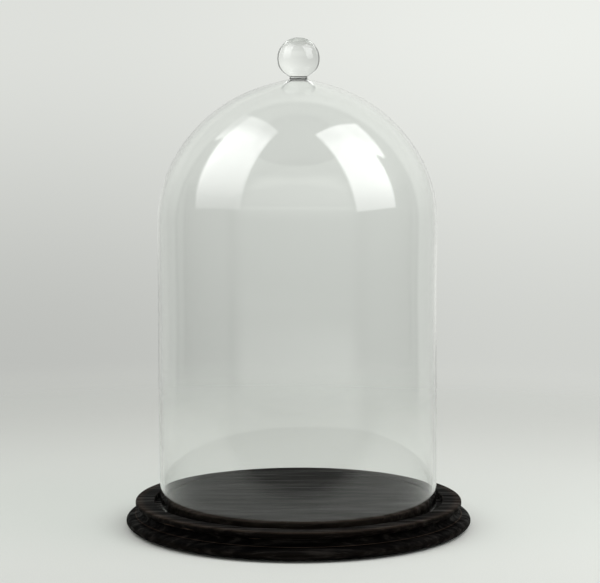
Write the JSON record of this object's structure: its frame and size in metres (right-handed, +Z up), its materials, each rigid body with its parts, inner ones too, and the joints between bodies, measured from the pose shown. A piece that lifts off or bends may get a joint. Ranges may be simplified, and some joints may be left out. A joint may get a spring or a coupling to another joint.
{
  "type": "bell jar dome",
  "caption": "Clear glass display dome with a ball knob, standing loosely in the groove of a turned, black-stained wooden base with a raised plateau.",
  "frame": {"origin": "centre of the surface that the base stands on", "axes": "+Z up along the common axis of the base, the dome and the knob; X and Y lie in the supporting surface, with the wood's grain along X"},
  "size_m": [0.3116, 0.3116, 0.4389],
  "materials": {
    "black_wood": "black-stained open-grain hardwood, satin",
    "clear_glass": "clear, hand-blown, fire-polished",
    "felt": "pressed wool felt"
  },
  "bodies": {
    "base": {"turned_base": "black_wood", "felt_pad_front_right": "felt", "felt_pad_rear_right": "felt", "felt_pad_rear_left": "felt", "felt_pad_front_left": "felt"},
    "dome": {"glass_dome": "clear_glass", "ball_knob": "clear_glass"}
  },
  "joints": [
    {"name": "dome_lift", "type": "slide", "parent": "base", "child": "dome", "axis": [0, 0, 1], "range_m": [0, 0.42]}
  ]
}
